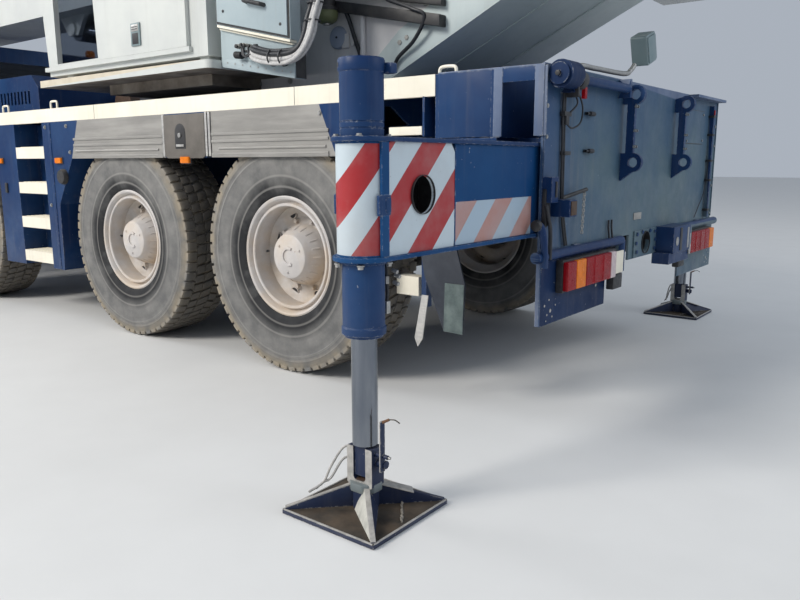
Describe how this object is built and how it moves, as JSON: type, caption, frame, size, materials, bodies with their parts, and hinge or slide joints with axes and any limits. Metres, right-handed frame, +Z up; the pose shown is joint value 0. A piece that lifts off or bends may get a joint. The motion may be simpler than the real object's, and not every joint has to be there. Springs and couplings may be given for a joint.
{
  "type": "mobile crane",
  "caption": "All-terrain mobile crane on three axles: telescopic boom on a slewing platform, sliding outriggers with jacks, steerable front wheels.",
  "frame": {"origin": "middle of the footprint, on the ground", "axes": "+X towards the carrier cab and boom head, +Y to the machine's left, +Z up"},
  "size_m": [9.8711, 5.092, 3.414],
  "materials": {
    "carrier_blue": "semi-gloss, chalky in places, chipped edges",
    "cream": "satin, weathered",
    "upper_white": "satin, grimy",
    "skirt_grey": "faded grey",
    "tyre": "dusty rubber",
    "rim_white": "satin, rust stained",
    "chrome_rod": "ground and oiled",
    "lamp": "clear coloured lens",
    "glass": "tinted",
    "dark_trim": "grained",
    "bare_steel": "dusty dark paint over cast steel"
  },
  "bodies": {
    "carrier": {"chassis_frame": "carrier_blue", "deck": "carrier_blue", "deck_edges_and_steps": "cream", "fenders": "skirt_grey", "side_boxes": "carrier_blue", "rear_panel": "carrier_blue", "lamps": "lamp", "carrier_cab": "carrier_blue", "carrier_cab_glass": "glass", "cab_interior": "dark_trim", "front_bumper": "cream", "engine_hood": "carrier_blue", "engine_block": "bare_steel", "muffler": "bare_steel", "axles": "bare_steel", "slew_ring": "bare_steel"},
    "superstructure": {"platform": "upper_white", "counterweight": "upper_white", "operator_cab": "upper_white", "operator_cab_glass": "glass", "operator_seat": "dark_trim", "service_cabinets": "upper_white"},
    "winch": {"winch_drum": "bare_steel"},
    "operator_door": {"operator_door": "upper_white"},
    "boom": {"boom_base": "upper_white"},
    "boom_outer": {"boom_middle_outer": "upper_white"},
    "boom_inner": {"boom_middle_inner": "upper_white"},
    "boom_tip": {"boom_tip": "upper_white"},
    "hook": {"hook_block": "cream"},
    "lift_barrel": {"lift_barrel": "upper_white"},
    "lift_rod": {"lift_rod": "chrome_rod"},
    "door_left": {"carrier_door_left": "carrier_blue"},
    "knuckle_left": {"knuckle_left": "bare_steel"},
    "wheel_rear_left": {"tyre_rear_left": "tyre", "rim_rear_left": "rim_white"},
    "wheel_middle_left": {"tyre_middle_left": "tyre", "rim_middle_left": "rim_white"},
    "wheel_front_left": {"tyre_front_left": "tyre", "rim_front_left": "rim_white"},
    "door_right": {"carrier_door_right": "carrier_blue"},
    "knuckle_right": {"knuckle_right": "bare_steel"},
    "wheel_rear_right": {"tyre_rear_right": "tyre", "rim_rear_right": "rim_white"},
    "wheel_middle_right": {"tyre_middle_right": "tyre", "rim_middle_right": "rim_white"},
    "wheel_front_right": {"tyre_front_right": "tyre", "rim_front_right": "rim_white"},
    "beam_rear_left": {"outrigger_beam_rear_left": "carrier_blue"},
    "jack_rear_left": {"jack_rod_rear_left": "chrome_rod", "jack_pad_rear_left": "carrier_blue"},
    "beam_rear_right": {"outrigger_beam_rear_right": "carrier_blue"},
    "jack_rear_right": {"jack_rod_rear_right": "chrome_rod", "jack_pad_rear_right": "carrier_blue"},
    "beam_front_left": {"outrigger_beam_front_left": "carrier_blue"},
    "jack_front_left": {"jack_rod_front_left": "chrome_rod", "jack_pad_front_left": "carrier_blue"},
    "beam_front_right": {"outrigger_beam_front_right": "carrier_blue"},
    "jack_front_right": {"jack_rod_front_right": "chrome_rod", "jack_pad_front_right": "carrier_blue"}
  },
  "joints": [
    {"name": "door_left_swing", "type": "hinge", "parent": "carrier", "child": "door_left", "pos_m": [3.71735, 1.283, 1.5], "axis": [0, 0, -1], "range_deg": [0, 70]},
    {"name": "steer_left", "type": "hinge", "parent": "carrier", "child": "knuckle_left", "pos_m": [1.00235, 0.96, 0.685], "axis": [0, 0, 1], "range_deg": [-32, 32]},
    {"name": "wheel_rear_left_roll", "type": "hinge", "parent": "carrier", "child": "wheel_rear_left", "pos_m": [-3.18265, 1.08, 0.685], "axis": [0, 1, 0], "continuous": true},
    {"name": "wheel_middle_left_roll", "type": "hinge", "parent": "carrier", "child": "wheel_middle_left", "pos_m": [-1.59765, 1.08, 0.685], "axis": [0, 1, 0], "continuous": true},
    {"name": "wheel_front_left_roll", "type": "hinge", "parent": "knuckle_left", "child": "wheel_front_left", "pos_m": [1.00235, 1.08, 0.685], "axis": [0, 1, 0], "continuous": true},
    {"name": "door_right_swing", "type": "hinge", "parent": "carrier", "child": "door_right", "pos_m": [3.71735, -1.283, 1.5], "axis": [0, 0, 1], "range_deg": [0, 70]},
    {"name": "steer_right", "type": "hinge", "parent": "carrier", "child": "knuckle_right", "pos_m": [1.00235, -0.96, 0.685], "axis": [0, 0, 1], "range_deg": [-32, 32]},
    {"name": "wheel_rear_right_roll", "type": "hinge", "parent": "carrier", "child": "wheel_rear_right", "pos_m": [-3.18265, -1.08, 0.685], "axis": [0, 1, 0], "continuous": true},
    {"name": "wheel_middle_right_roll", "type": "hinge", "parent": "carrier", "child": "wheel_middle_right", "pos_m": [-1.59765, -1.08, 0.685], "axis": [0, 1, 0], "continuous": true},
    {"name": "wheel_front_right_roll", "type": "hinge", "parent": "knuckle_right", "child": "wheel_front_right", "pos_m": [1.00235, -1.08, 0.685], "axis": [0, 1, 0], "continuous": true},
    {"name": "slew", "type": "hinge", "parent": "carrier", "child": "superstructure", "pos_m": [-1.83265, 0, 1.69], "axis": [0, 0, 1], "continuous": true},
    {"name": "winch_turn", "type": "hinge", "parent": "superstructure", "child": "winch", "pos_m": [-4.00265, 0, 2.33], "axis": [0, 1, 0], "continuous": true},
    {"name": "operator_door_slide", "type": "slide", "parent": "superstructure", "child": "operator_door", "axis": [1, 0, 0], "range_m": [0, 0.69]},
    {"name": "luff", "type": "hinge", "parent": "superstructure", "child": "boom", "pos_m": [-3.53265, 0, 2.75], "axis": [0, -1, 0], "range_deg": [0, 80]},
    {"name": "tele_outer", "type": "slide", "parent": "boom", "child": "boom_outer", "axis": [1, 0, 0], "range_m": [0, 5]},
    {"name": "tele_inner", "type": "slide", "parent": "boom_outer", "child": "boom_inner", "axis": [1, 0, 0], "range_m": [0, 5]},
    {"name": "tele_tip", "type": "slide", "parent": "boom_inner", "child": "boom_tip", "axis": [1, 0, 0], "range_m": [0, 5]},
    {"name": "hook_swing", "type": "hinge", "parent": "boom_tip", "child": "hook", "pos_m": [4.73735, 0, 2.46], "axis": [0, -1, 0], "range_deg": [-80, 0]},
    {"name": "lift_tilt", "type": "hinge", "parent": "superstructure", "child": "lift_barrel", "pos_m": [-2.28265, 0, 1.885], "axis": [0, -1, 0], "range_deg": [0, 82.03]},
    {"name": "lift_stroke", "type": "slide", "parent": "lift_barrel", "child": "lift_rod", "axis": [0.9809, 0, 0.1946], "range_m": [0, 1.9561]},
    {"name": "beam_rear_left_slide", "type": "slide", "parent": "carrier", "child": "beam_rear_left", "axis": [0, 1, 0], "range_m": [-1.121, 0.764]},
    {"name": "jack_rear_left_lift", "type": "slide", "parent": "beam_rear_left", "child": "jack_rear_left", "axis": [0, 0, 1], "range_m": [0, 0.39]},
    {"name": "beam_rear_right_slide", "type": "slide", "parent": "carrier", "child": "beam_rear_right", "axis": [0, -1, 0], "range_m": [-0.685, 1.2]},
    {"name": "jack_rear_right_lift", "type": "slide", "parent": "beam_rear_right", "child": "jack_rear_right", "axis": [0, 0, 1], "range_m": [0, 0.39]},
    {"name": "beam_front_left_slide", "type": "slide", "parent": "carrier", "child": "beam_front_left", "axis": [0, 1, 0], "range_m": [-1.121, 0.764]},
    {"name": "jack_front_left_lift", "type": "slide", "parent": "beam_front_left", "child": "jack_front_left", "axis": [0, 0, 1], "range_m": [0, 0.39]},
    {"name": "beam_front_right_slide", "type": "slide", "parent": "carrier", "child": "beam_front_right", "axis": [0, -1, 0], "range_m": [-1.121, 0.764]},
    {"name": "jack_front_right_lift", "type": "slide", "parent": "beam_front_right", "child": "jack_front_right", "axis": [0, 0, 1], "range_m": [0, 0.39]}
  ],
  "couplings": [
    {"joint": "steer_right", "follows": "steer_left", "ratio": 1},
    {"joint": "tele_inner", "follows": "tele_outer", "ratio": 1},
    {"joint": "tele_tip", "follows": "tele_outer", "ratio": 1},
    {"joint": "hook_swing", "follows": "luff", "ratio": -1},
    {"joint": "lift_tilt", "follows": "luff", "ratio": 1.0192},
    {"joint": "lift_stroke", "follows": "luff", "m_per_rad": 1.3974}
  ]
}
